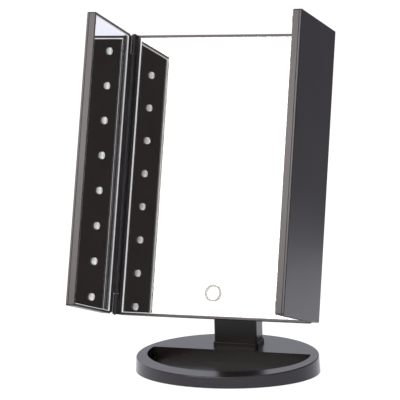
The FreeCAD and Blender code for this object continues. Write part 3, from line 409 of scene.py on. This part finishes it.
def powder_coat(name, colour):
    """Steel, bent and powder coated: dark, with the fine orange-peel of melted powder."""
    material, tree = new_material(name)
    place = add(tree, "ShaderNodeTexCoord").outputs["Object"]
    peel = add(tree, "ShaderNodeTexNoise", inputs={"Vector": place, "Scale": 1 / (1.1 * MM), "Detail": 1.0})
    tone = add(tree, "ShaderNodeValToRGB", inputs={"Fac": peel.outputs["Fac"]},
               stops=[(0.3, colour), (0.8, shade(colour, 1.15))])
    gloss = add(tree, "ShaderNodeMapRange", inputs={
        "Value": peel.outputs["Fac"], "To Min": 0.38, "To Max": 0.48})
    bump = add(tree, "ShaderNodeBump", inputs={
        "Strength": 0.35, "Distance": 0.08 * MM, "Height": peel.outputs["Fac"]})
    shader = add(tree, "ShaderNodeBsdfPrincipled", inputs={
        "Base Color": tone.outputs["Color"], "Roughness": gloss.outputs["Result"],
        "Normal": bump.outputs["Normal"]})
    add(tree, "ShaderNodeOutputMaterial", inputs={"Surface": shader.outputs["BSDF"]})
    return material


def solder_mask(name):
    """Glass-fibre board, screen printed with green resist: copper runs show through as lighter bands."""
    material, tree = new_material(name)
    place = add(tree, "ShaderNodeTexCoord").outputs["Object"]
    runs = add(tree, "ShaderNodeTexWave", {"wave_type": "BANDS", "bands_direction": "X"},
               {"Vector": place, "Scale": 1 / BOARD_RUNS, "Distortion": 3.0, "Detail": 0.0})
    tone = add(tree, "ShaderNodeValToRGB", inputs={"Fac": runs.outputs["Fac"]},
               stops=[(0.45, linear("#0d3a22")), (0.55, linear("#18573a"))])
    gloss = add(tree, "ShaderNodeMapRange", inputs={
        "Value": runs.outputs["Fac"], "To Min": 0.3, "To Max": 0.4})
    shader = add(tree, "ShaderNodeBsdfPrincipled", inputs={
        "Base Color": tone.outputs["Color"], "Roughness": gloss.outputs["Result"]})
    add(tree, "ShaderNodeOutputMaterial", inputs={"Surface": shader.outputs["BSDF"]})
    return material


def printed_sleeve(name):
    """Shrink sleeve over a steel can: dark foil, slightly cloudy, with a dull metal shine."""
    material, tree = new_material(name)
    place = add(tree, "ShaderNodeTexCoord").outputs["Object"]
    haze = add(tree, "ShaderNodeTexNoise", inputs={"Vector": place, "Scale": 1 / (6 * MM), "Detail": 2.0})
    tone = add(tree, "ShaderNodeValToRGB", inputs={"Fac": haze.outputs["Fac"]},
               stops=[(0.3, linear("#3a3d44")), (0.7, linear("#4a4e56"))])
    gloss = add(tree, "ShaderNodeMapRange", inputs={
        "Value": haze.outputs["Fac"], "To Min": 0.25, "To Max": 0.35})
    shader = add(tree, "ShaderNodeBsdfPrincipled", inputs={
        "Base Color": tone.outputs["Color"], "Metallic": 0.6, "Roughness": gloss.outputs["Result"]})
    add(tree, "ShaderNodeOutputMaterial", inputs={"Surface": shader.outputs["BSDF"]})
    return material


def phosphor(name):
    """Light chip: yellow phosphor gel in a white frame, slightly uneven."""
    material, tree = new_material(name)
    place = add(tree, "ShaderNodeTexCoord").outputs["Object"]
    gel = add(tree, "ShaderNodeTexNoise", inputs={"Vector": place, "Scale": 1 / (0.7 * MM), "Detail": 2.0})
    tone = add(tree, "ShaderNodeValToRGB", inputs={"Fac": gel.outputs["Fac"]},
               stops=[(0.3, linear("#d8b93c")), (0.7, linear("#f0d870"))])
    gloss = add(tree, "ShaderNodeMapRange", inputs={
        "Value": gel.outputs["Fac"], "To Min": 0.35, "To Max": 0.5})
    shader = add(tree, "ShaderNodeBsdfPrincipled", inputs={
        "Base Color": tone.outputs["Color"], "Roughness": gloss.outputs["Result"]})
    add(tree, "ShaderNodeOutputMaterial", inputs={"Surface": shader.outputs["BSDF"]})
    return material


# ---- operators: finishes -------------------------------------------------------------------------
class VanityOperator:
    """What every step shares."""
    bl_options = {"REGISTER", "UNDO"}


class VANITY_OT_finish_base(VanityOperator, bpy.types.Operator):
    """Finish the base: moulded shell, plate, weight, screws and the non-slip pad"""
    bl_idname = "vanity.finish_base"
    bl_label = "Finish Base"

    def execute(self, context):
        look = context.scene.vanity_finish
        # look.base is a darker copy of the housings' black, painted shade for the tray.
        shell = moulded_abs("satin_black_abs_base", look.base, look.base_roughness, look.grain, look.sheen)
        inner = moulded_abs("matt_black_abs_inner", linear("#2b2a2a"), 0.6, 0.6 * MM)
        finish(["base_shell"], shell)
        finish(["base_bottom_plate"], inner)
        finish(["base_pad"], soft_rubber("pressed_silicone_pad", linear("#171717")))
        finish(["base_weight"],
               worked_metal("rolled_steel_weight", linear("#8d8d8f"), 0.5, 3 * MM, (1, 12, 1)))
        finish(["base_screws"], zinc_screws("base"))
        return {"FINISHED"}


class VANITY_OT_finish_post(VanityOperator, bpy.types.Operator):
    """Finish the post: both shells, collar, foot block, screws and the hinge bush"""
    bl_idname = "vanity.finish_post"
    bl_label = "Finish Post"

    def execute(self, context):
        look = context.scene.vanity_finish
        shell = moulded_abs("gloss_black_abs_post", look.post, look.post_roughness, look.grain,
                            gloss_level=0.25)
        finish(["post_front_shell", "post_rear_shell", "post_collar"], shell)
        finish(["post_foot"], moulded_abs("glass_filled_nylon", linear("#303030"), 0.65, 0.5 * MM))
        finish(["post_screws", "post_foot_screws"], zinc_screws("post"))
        finish(["tilt_bush"], worked_metal("turned_brass", linear("#c8a45a"), 0.25, 0.3 * MM, (20, 1, 1)))
        return {"FINISHED"}


class VANITY_OT_finish_head(VanityOperator, bpy.types.Operator):
    """Finish the centre panel: frame, touch ring, rear cover and the tilt hinge"""
    bl_idname = "vanity.finish_head"
    bl_label = "Finish Centre Panel"

    def execute(self, context):
        look = context.scene.vanity_finish
        finish(["centre_frame", "centre_back_cover", "tilt_axle_caps"], housing_abs("panel", look))
        finish(["touch_ring"], etched_glass("etched_touch_ring", look.ring))
        finish(["tilt_bracket"], powder_coat("powder_coated_bracket", linear("#1f1f20")))
        finish(["tilt_bracket_screws", "centre_cover_screws"], zinc_screws("panel"))
        pins = worked_metal("ground_steel_pins", linear("#5c5b5f"), 0.3, 0.3 * MM, (1, 1, 0.1))
        finish(["tilt_axle", "tilt_axle_nut", "left_hinge_pin", "right_hinge_pin"], pins)
        finish(["tilt_friction_washers"], worked_metal("spring_steel", linear("#8a8a8c"), 0.3, 0.5 * MM))
        return {"FINISHED"}


class VANITY_OT_finish_power(VanityOperator, bpy.types.Operator):
    """Finish the power parts: door, knob, inlet, cells, contacts and boards"""
    bl_idname = "vanity.finish_power"
    bl_label = "Finish Power Parts"

    def execute(self, context):
        look = context.scene.vanity_finish
        finish(["battery_door"], housing_abs("door", look))
        finish(["power_switch_knob"], moulded_abs("grey_acetal_knob", linear("#5f6064"), 0.4, 0.4 * MM))
        finish(["power_switch_body"], moulded_abs("black_nylon_switch", linear("#222222"), 0.5, 0.4 * MM))
        finish(["charging_inlet"], worked_metal("nickel_plated_inlet", linear("#b9b9bb"), 0.25, 0.5 * MM))
        finish(["battery_contacts"], worked_metal("nickel_plated_contacts", linear("#c2c2c4"), 0.3, 0.4 * MM))
        finish(["battery_cells"], printed_sleeve("foil_cell_sleeve"))
        finish(["touch_sensor_board", "control_board"], solder_mask("green_solder_mask"))
        return {"FINISHED"}


class VANITY_OT_finish_wings(VanityOperator, bpy.types.Operator):
    """Finish both side mirrors: frame, cover, lights' board and chips, closing pads"""
    bl_idname = "vanity.finish_wings"
    bl_label = "Finish Side Mirrors"

    def execute(self, context):
        look = context.scene.vanity_finish
        rubber = soft_rubber("pressed_silicone_bumper", linear("#1b1a1b"))
        mask = solder_mask("green_solder_mask_lights")
        chips = phosphor("yellow_phosphor")
        for label in ("left", "right"):
            finish([label + "_wing_frame", label + "_wing_back_cover"], housing_abs(label + "_wing", look))
            finish([label + "_light_board"], mask)
            finish([label + "_light_chips"], chips)
            finish([label + "_closing_pads"], rubber)
        return {"FINISHED"}


# ---- operators: pieces modelled here -------------------------------------------------------------
LIGHTS_PER_WING = 8
LOW_CORNERS = 8             # corners of a plate's lower edge, with its small chamfers
FLAT_ON = 0.99              # cosine past which a face lies square to a direction
ON_PLANE = 0.001 * MM       # how near the cutting plane a point counts as on it
WELD = 0.002 * MM           # how near two points of a plate are one
BACK_SKIN = 0.01 * MM       # how near a plate's back a point counts as on it
DOME_SMOOTH = math.radians(40)
PLATE_SMOOTH = math.radians(30)


def copy_of(piece):
    """A copy of a piece, with a mesh of its own."""
    copied = piece.copy()
    copied.data = piece.data.copy()
    bpy.context.scene.collection.objects.link(copied)
    return copied


def model_dome(radius, settings):
    """A light dome at the origin, its crown along +Z: a low cap with a stem below."""
    deselect_all()
    bpy.ops.mesh.primitive_uv_sphere_add(segments=settings.segments, ring_count=settings.segments // 2,
                                         radius=radius)
    dome = bpy.context.object
    bpy.ops.object.mode_set(mode="EDIT")
    bpy.ops.mesh.select_all(action="SELECT")
    bpy.ops.mesh.bisect(plane_co=(0, 0, 0), plane_no=(0, 0, 1), use_fill=True, clear_inner=True,
                        threshold=ON_PLANE)
    bpy.ops.mesh.select_all(action="DESELECT")
    mesh = bmesh.from_edit_mesh(dome.data)
    cut = [face for face in mesh.faces if all(abs(corner.co.z) < ON_PLANE for corner in face.verts)]
    if not cut:
        raise RuntimeError("a light dome has no cut face to draw its stem from")
    for face in cut:
        face.select_set(True)
    bmesh.update_edit_mesh(dome.data)
    bpy.ops.mesh.extrude_region_move(TRANSFORM_OT_translate={"value": (0, 0, -settings.stem)})
    bpy.ops.object.mode_set(mode="OBJECT")
    dome.data.transform(Matrix.Diagonal((settings.width, settings.width, settings.rise, 1.0)))
    bpy.ops.object.shade_smooth_by_angle(angle=DOME_SMOOTH)
    for face in dome.data.polygons:
        face.material_index = 1 if math.hypot(*face.center.xy) < radius * settings.crown else 0
    return dome


def plate_reach(plate):
    """A plate's reach up the panel and along its width, each as direction, lowest and highest place."""
    corners = [vertex.co.copy() for vertex in plate.data.vertices]
    low = sorted(corners, key=lambda p: p.dot(panel_up))[:LOW_CORNERS]
    span = max(((a - b) for a in low for b in low), key=lambda v: v.length)
    across = (span - panel_up * span.dot(panel_up)).normalized()
    reach = []
    for axis in (panel_up, across):
        places = [p.dot(axis) for p in corners]
        reach.append((axis, min(places), max(places)))
    return reach


def inside(point, reach, border):
    """Whether a point lies further than border from all of a plate's outer edges."""
    return all(min(point.dot(axis) - low, high - point.dot(axis)) >= border for axis, low, high in reach)


def mirror_plate(name, node, out, materials, settings):
    """A mirror plate on a node's form: clear front, ground edges, milky window walls, and silver on
    its back; edges and window walls have a painted glow. Materials are those of front, edges,
    back and windows."""
    deselect_all()
    plate = copy_of(frame["nodes"][node])
    for mark in list(plate.keys()):  # the copy is a piece of its own, without the node's marks
        del plate[mark]
    plate.parent = None
    plate.name = name
    plate.data.name = name
    plate.select_set(True)
    bpy.context.view_layer.objects.active = plate
    bpy.ops.object.mode_set(mode="EDIT")
    bpy.ops.mesh.select_all(action="SELECT")
    bpy.ops.mesh.customdata_custom_splitnormals_clear()
    bpy.ops.mesh.remove_doubles(threshold=WELD)
    bpy.ops.object.mode_set(mode="OBJECT")
    bpy.ops.object.shade_smooth_by_angle(angle=PLATE_SMOOTH)
    plate.data.materials.clear()
    for material in materials:
        plate.data.materials.append(material)
    reach = plate_reach(plate)
    for face in plate.data.polygons:
        facing = face.normal.dot(out)
        face.material_index = 0 if facing > FLAT_ON else 2 if facing < -FLAT_ON else 1
        if face.material_index == 1 and inside(face.center, reach, settings.border):
            face.material_index = 3
    back = min(vertex.co.dot(out) for vertex in plate.data.vertices)
    for vertex in plate.data.vertices:
        if vertex.co.dot(out) < back + BACK_SKIN:
            vertex.co += out * settings.seat
    plate.data.update()
    return plate


class VANITY_OT_mirror_plates(VanityOperator, bpy.types.Operator):
    """Model the three mirror plates as clear glass with ground edges and silver behind it"""
    bl_idname = "vanity.mirror_plates"
    bl_label = "Mirror Plates"

    def execute(self, context):
        look = context.scene.vanity_finish
        materials = [clear_glass("float_glass", look.glass),
                     glowing_ground_edge("ground_glass_edge", look.glass_edge),
                     silver_layer("sprayed_silver", look.silver),
                     glowing_frosted_acrylic("milky_window_edge", look.lens_rim)]
        plates = (("centre_glass", "centre_mirror", -panel_back, "head"),
                  ("left_glass", "left_wing_mirror", wing_directions(-1)[1], "left_wing"),
                  ("right_glass", "right_wing_mirror", wing_directions(1)[1], "right_wing"))
        for name, node, out, body in plates:
            plate = mirror_plate(name, node, out, materials, context.scene.vanity_glass)
            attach(plate, body)
            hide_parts(node)
        return {"FINISHED"}


class VANITY_OT_light_domes(VanityOperator, bpy.types.Operator):
    """Model the frosted light domes of both side mirrors"""
    bl_idname = "vanity.light_domes"
    bl_label = "Light Domes"

    def execute(self, context):
        settings = context.scene.vanity_domes
        look = context.scene.vanity_finish
        materials = (glowing_frosted_acrylic("frosted_acrylic_rim", look.lens_rim),
                     glowing_frosted_acrylic("frosted_acrylic_crown", look.lens))
        for side, label in ((-1, "left"), (1, "right")):
            node = label + "_light_lenses"
            along, out = wing_directions(side)
            groups = clusters(node_points(node), panel_up, LIGHTS_PER_WING)
            reach = [p.dot(along) for p in groups[0]]
            radius = (max(reach) - min(reach)) / 2
            seat = max(p.dot(out) for p in groups[0]) - radius
            turn = Matrix((along, panel_up, out)).transposed()
            if turn.determinant() < 0:
                turn = Matrix((-along, panel_up, out)).transposed()
            first = model_dome(radius, settings)
            for material in materials:
                first.data.materials.append(material)
            domes = [first] + [copy_of(first) for _ in groups[1:]]
            for number, (dome, group) in enumerate(zip(domes, groups), 1):
                place = along * middle(group, along) + panel_up * middle(group, panel_up) + out * seat
                dome.name = "%s_light_dome_%d" % (label, number)
                dome.data.name = dome.name
                settle(dome, Matrix.Translation(place) @ turn.to_4x4())
                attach(dome, label + "_wing")
                if number == 1:
                    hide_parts(node)
        return {"FINISHED"}


# ---- operators: studio ---------------------------------------------------------------------------
# Lamps and cards round the mirror. A place is a turn to the right of the front, a height above the
# horizon and a distance from the mirror's middle; a size is width and height.
KEY_PLACE = (math.radians(-20.0), math.radians(25.0), 1.6)
KEY_SIZE = (0.9, 0.6)
RIM_OFFSET = Vector((-1.6, 0.9, 0.6))
RIM_SIZE = (0.9, 0.9)
FLAG_PLACE = (math.radians(20.0), math.radians(22.6), 1.7)
SIDE_CARD_BACK = 0.55
RIGHT_CARD_PLACE = Vector((1.5, -0.4, 0.6))
RIGHT_CARD_AIM = Vector((0.0, -0.2, 0.6))
RIGHT_CARD_SIZE = (2.0, 1.6)

# Reflections show the surroundings a little above white, for what silver and glass take away, with a
# faint blue on the floor and behind the mirror.
WHITE = (1.0, 1.0, 1.0, 1.0)
COOL_WHITE = "#eff0fb"
REFLECTED_WORLD = 1.06
REFLECTED_FLOOR = (1.2, 1.22, 1.32, 1.0)
FLOOR_LIFT = 1.1            # light that the floor adds where it shows no shadow
SHADOW_LIFT = 0.8           # how much of that gives way where it shows the whole shadow


def new_plane(name, size_x, size_y, place):
    """A flat card for the studio, with its place as a matrix."""
    deselect_all()
    bpy.ops.mesh.primitive_plane_add(size=1.0)
    card = bpy.context.object
    card.name = name
    card.data.transform(place @ Matrix.Diagonal((size_x, size_y, 1.0, 1.0)))
    return card


def look_at(place, target):
    """Matrix that puts something at place, its -Z towards target."""
    return Matrix.Translation(place) @ (target - place).to_track_quat("-Z", "Y").to_matrix().to_4x4()


def from_front(azimuth, elevation):
    """Unit vector from the mirror, azimuth to the right of the front and elevation above the horizon."""
    return Vector((math.sin(azimuth) * math.cos(elevation), -math.cos(azimuth) * math.cos(elevation),
                   math.sin(elevation)))


def direct_sight(tree):
    """1 for what the camera sees itself, in a mirror or through glass, 0 for light on matt faces."""
    path = add(tree, "ShaderNodeLightPath").outputs
    seen = add(tree, "ShaderNodeMath", {"operation": "MAXIMUM"},
               {0: path["Is Camera Ray"], 1: path["Is Glossy Ray"]})
    return add(tree, "ShaderNodeMath", {"operation": "MAXIMUM"},
               {0: seen.outputs[0], 1: path["Is Transmission Ray"]}).outputs[0]


def white_to_camera(tree, reflected):
    """White where the camera looks straight at it, and the reflected colour in mirrors and glass."""
    return add(tree, "ShaderNodeMixRGB", inputs={
        "Fac": add(tree, "ShaderNodeLightPath").outputs["Is Camera Ray"],
        "Color1": reflected, "Color2": WHITE}).outputs["Color"]


def studio_floor(settings):
    """Pale floor: painted board, plain and matt, that keeps the object's shadow.

    As light on the object it is a matt board; the camera sees it lifted to white, and the mirrors
    see it lifted to a faintly blue white."""
    material, tree = new_material("painted_white_board")
    place = add(tree, "ShaderNodeTexCoord").outputs["Object"]
    speck = add(tree, "ShaderNodeTexNoise", inputs={"Vector": place, "Scale": 40.0, "Detail": 2.0})
    colour = tuple(settings.floor)
    tone = add(tree, "ShaderNodeValToRGB", inputs={"Fac": speck.outputs["Fac"]},
               stops=[(0.3, shade(colour, 0.99)), (0.7, colour)])
    board = add(tree, "ShaderNodeBsdfDiffuse", inputs={"Color": tone.outputs["Color"]})
    dim = add(tree, "ShaderNodeBsdfDiffuse", inputs={"Color": (*shade(colour, settings.shadow), 1.0)})
    lift = add(tree, "ShaderNodeEmission", inputs={
        "Color": white_to_camera(tree, REFLECTED_FLOOR),
        "Strength": FLOOR_LIFT - settings.shadow * SHADOW_LIFT})
    lifted = add(tree, "ShaderNodeAddShader", inputs={0: dim.outputs[0], 1: lift.outputs[0]})
    both = add(tree, "ShaderNodeMixShader", inputs={
        0: direct_sight(tree), 1: board.outputs[0], 2: lifted.outputs[0]})
    add(tree, "ShaderNodeOutputMaterial", inputs={"Surface": both.outputs[0]})
    floor = new_plane("studio_floor", settings.floor_size, settings.floor_size,
                      Matrix.Translation((0, 0, cad_low.z)))
    floor.data.materials.append(material)


def studio_world(scene, settings):
    """Surroundings: white to the camera, turning to a cool white behind the mirror in reflections,
    and a little softer as light on matt faces."""
    world = bpy.data.worlds.new("white_studio")
    scene.world = world
    world.use_nodes = True
    tree = world.node_tree
    tree.nodes.clear()
    even = add(tree, "ShaderNodeBackground", inputs={"Color": WHITE, "Strength": settings.daylight})
    way = add(tree, "ShaderNodeSeparateXYZ", inputs={
        "Vector": add(tree, "ShaderNodeTexCoord").outputs["Generated"]})
    tint = add(tree, "ShaderNodeValToRGB", inputs={"Fac": way.outputs["Y"]},
               stops=[(0.0, WHITE[:3]), (0.4, linear(COOL_WHITE))])
    seen = add(tree, "ShaderNodeBackground", inputs={
        "Color": white_to_camera(tree, tint.outputs["Color"]), "Strength": REFLECTED_WORLD})
    both = add(tree, "ShaderNodeMixShader", inputs={
        0: direct_sight(tree), 1: even.outputs[0], 2: seen.outputs[0]})
    add(tree, "ShaderNodeOutputWorld", inputs={"Surface": both.outputs[0]})


def studio_card(name, width, height, place, tone):
    """Flocked card of one plain tone that only reflections show."""
    material, tree = new_material("flock_" + name)
    where = add(tree, "ShaderNodeTexCoord").outputs["Object"]
    flock = add(tree, "ShaderNodeTexNoise", inputs={"Vector": where, "Scale": 30.0})
    pile = add(tree, "ShaderNodeValToRGB", inputs={"Fac": flock.outputs["Fac"]},
               stops=[(0.3, shade(tone, 0.9)), (0.7, tone)])
    flat = add(tree, "ShaderNodeEmission", inputs={"Color": pile.outputs["Color"], "Strength": 1.0})
    add(tree, "ShaderNodeOutputMaterial", inputs={"Surface": flat.outputs[0]})
    card = new_plane(name, width, height, place)
    card.data.materials.append(material)
    card.visible_camera = False
    card.visible_diffuse = False
    card.visible_shadow = False


def area_lamp(name, place, target, size, power, colour):
    """Large soft lamp aimed at a point, not seen through glass."""
    data = bpy.data.lights.new(name, "AREA")
    data.shape = "RECTANGLE"
    data.size, data.size_y = size
    data.energy = power
    data.color = colour
    lamp = bpy.data.objects.new(name, data)
    lamp.matrix_world = look_at(place, target)
    lamp.visible_transmission = False
    bpy.context.scene.collection.objects.link(lamp)


class VANITY_OT_studio(VanityOperator, bpy.types.Operator):
    """Set up the floor, the white surroundings, the three cards and the two lamps"""
    bl_idname = "vanity.studio"
    bl_label = "Studio"

    def execute(self, context):
        settings = context.scene.vanity_studio
        target = (cad_low + cad_high) / 2
        studio_floor(settings)
        studio_world(context.scene, settings)
        turn, height, away = FLAG_PLACE
        flag = look_at(target + from_front(turn, height) * away, target)
        studio_card("studio_flag", settings.flag_width, settings.flag_height,
                    flag @ Matrix.Translation((settings.flag_right, 0, 0)), tuple(settings.flag_tone))
        behind = Vector((settings.side_edge + settings.side_width / 2, SIDE_CARD_BACK,
                         settings.side_height / 2))
        studio_card("studio_side_card", settings.side_width, settings.side_height,
                    look_at(behind, behind - Vector((0, 1, 0))), tuple(settings.side_tone))
        studio_card("studio_right_card", *RIGHT_CARD_SIZE, look_at(RIGHT_CARD_PLACE, RIGHT_CARD_AIM),
                    tuple(settings.right_tone))
        turn, height, away = KEY_PLACE
        area_lamp("key_softbox", target + from_front(turn, height) * away, target, KEY_SIZE,
                  settings.key_power, settings.key_colour)
        area_lamp("rim_lamp", target + RIM_OFFSET, target, RIM_SIZE, settings.rim_power, settings.rim_colour)
        context.scene.view_settings.view_transform = "Standard"
        return {"FINISHED"}


SENSOR_MM = 36.0
VIEW_DEPTH = 50.0


class VANITY_OT_camera(VanityOperator, bpy.types.Operator):
    """Place the camera in front of the mirror, to its right and a little above"""
    bl_idname = "vanity.camera"
    bl_label = "Camera"

    def execute(self, context):
        settings = context.scene.vanity_camera
        back = from_front(settings.azimuth, settings.elevation)
        place = Vector((0.0, 0.0, settings.height)) + back * settings.distance
        forward = (Vector((settings.aim_x, 0.0, settings.aim_z)) - place).normalized()
        right = forward.cross(Vector((0, 0, 1))).normalized()
        up = right.cross(forward)
        across = right * math.cos(settings.roll) + up * math.sin(settings.roll)
        upwards = up * math.cos(settings.roll) - right * math.sin(settings.roll)
        turn = Matrix((across, upwards, -forward)).transposed().to_4x4()
        data = bpy.data.cameras.new("view_camera")
        data.lens = settings.lens_mm
        data.sensor_width = SENSOR_MM
        data.clip_end = VIEW_DEPTH
        camera = bpy.data.objects.new("view_camera", data)
        camera.matrix_world = Matrix.Translation(place) @ turn
        context.scene.collection.objects.link(camera)
        context.scene.camera = camera
        return {"FINISHED"}


# ---- panel and registering -----------------------------------------------------------------------
STEPS = (
    VANITY_OT_camera,
    VANITY_OT_studio,
    VANITY_OT_finish_base,
    VANITY_OT_finish_post,
    VANITY_OT_finish_head,
    VANITY_OT_finish_power,
    VANITY_OT_finish_wings,
    VANITY_OT_mirror_plates,
    VANITY_OT_light_domes,
)


class VANITY_PT_panel(bpy.types.Panel):
    """Settings and steps of the vanity mirror"""
    bl_idname = "VANITY_PT_panel"
    bl_label = "Vanity Mirror"
    bl_space_type = "VIEW_3D"
    bl_region_type = "UI"
    bl_category = "Vanity Mirror"

    def draw(self, context):
        for name, group in SETTINGS.items():
            box = self.layout.box()
            for setting in group.__annotations__:
                box.prop(getattr(context.scene, name), setting)
        for step in STEPS:
            self.layout.operator(step.bl_idname)


def register():
    for name, group in SETTINGS.items():
        bpy.utils.register_class(group)
        setattr(bpy.types.Scene, name, PointerProperty(type=group))
    for step in STEPS:
        bpy.utils.register_class(step)
    bpy.utils.register_class(VANITY_PT_panel)


def unregister():
    bpy.utils.unregister_class(VANITY_PT_panel)
    for step in reversed(STEPS):
        bpy.utils.unregister_class(step)
    for name, group in reversed(SETTINGS.items()):
        delattr(bpy.types.Scene, name)
        bpy.utils.unregister_class(group)


def main():
    register()
    for step in STEPS:
        name = step.bl_idname.split(".")[1]
        getattr(bpy.ops.vanity, name)()


if __name__ == "__main__":
    main()
